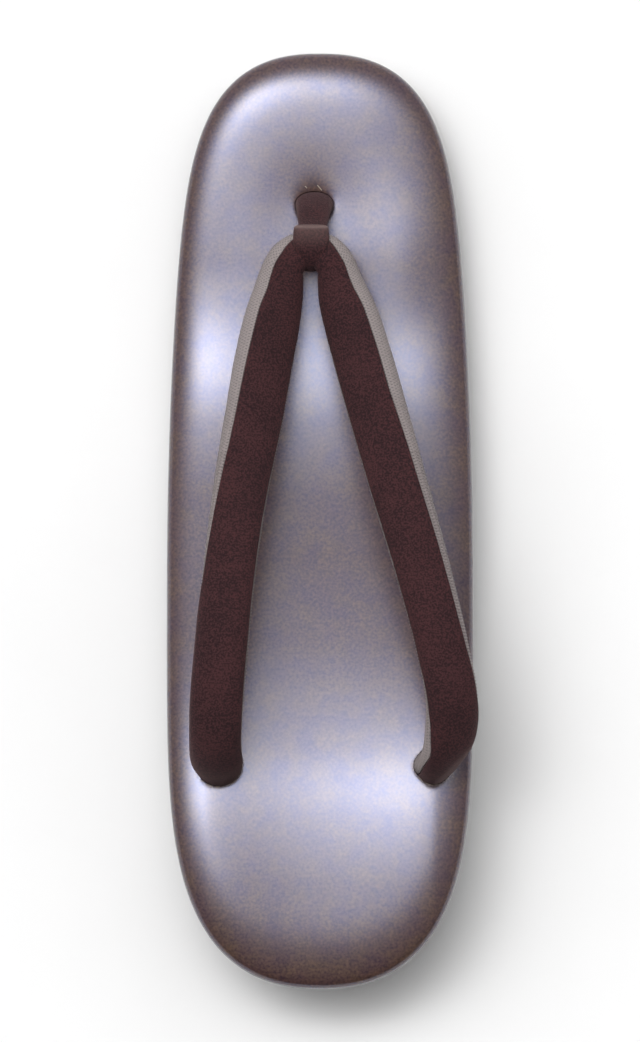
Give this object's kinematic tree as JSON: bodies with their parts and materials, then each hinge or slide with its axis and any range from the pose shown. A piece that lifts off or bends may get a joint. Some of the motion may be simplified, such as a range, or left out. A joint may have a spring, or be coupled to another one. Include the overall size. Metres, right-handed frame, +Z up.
{
  "type": "zori sandal",
  "caption": "Zori sandal: a padded, leather-covered wedge platform on a rubber sole and heel lift, with a padded velvet V strap held by a toe thong.",
  "frame": {"origin": "on the floor, at the middle of the sandal's length and of its outline's width", "axes": "+Z up from the floor, +Y along the sandal towards the toe, +X to the wearer's right"},
  "size_m": [0.0812, 0.245, 0.0778],
  "materials": {
    "tread_leather": "satin two-tone pearl over a brownish mauve ground, very fine grain",
    "wall_leather": "the same pearl leather, wrapped round the side wall",
    "sole_rubber": "matt dark rubber",
    "strap_velvet": "dark burgundy velvet, short pile"
  },
  "bodies": {
    "root": {"padded_top": "tread_leather", "platform": "wall_leather", "outsole": "sole_rubber", "heel_lift": "sole_rubber", "strap_pair": "strap_velvet", "toe_thong": "strap_velvet"}
  },
  "joints": []
}
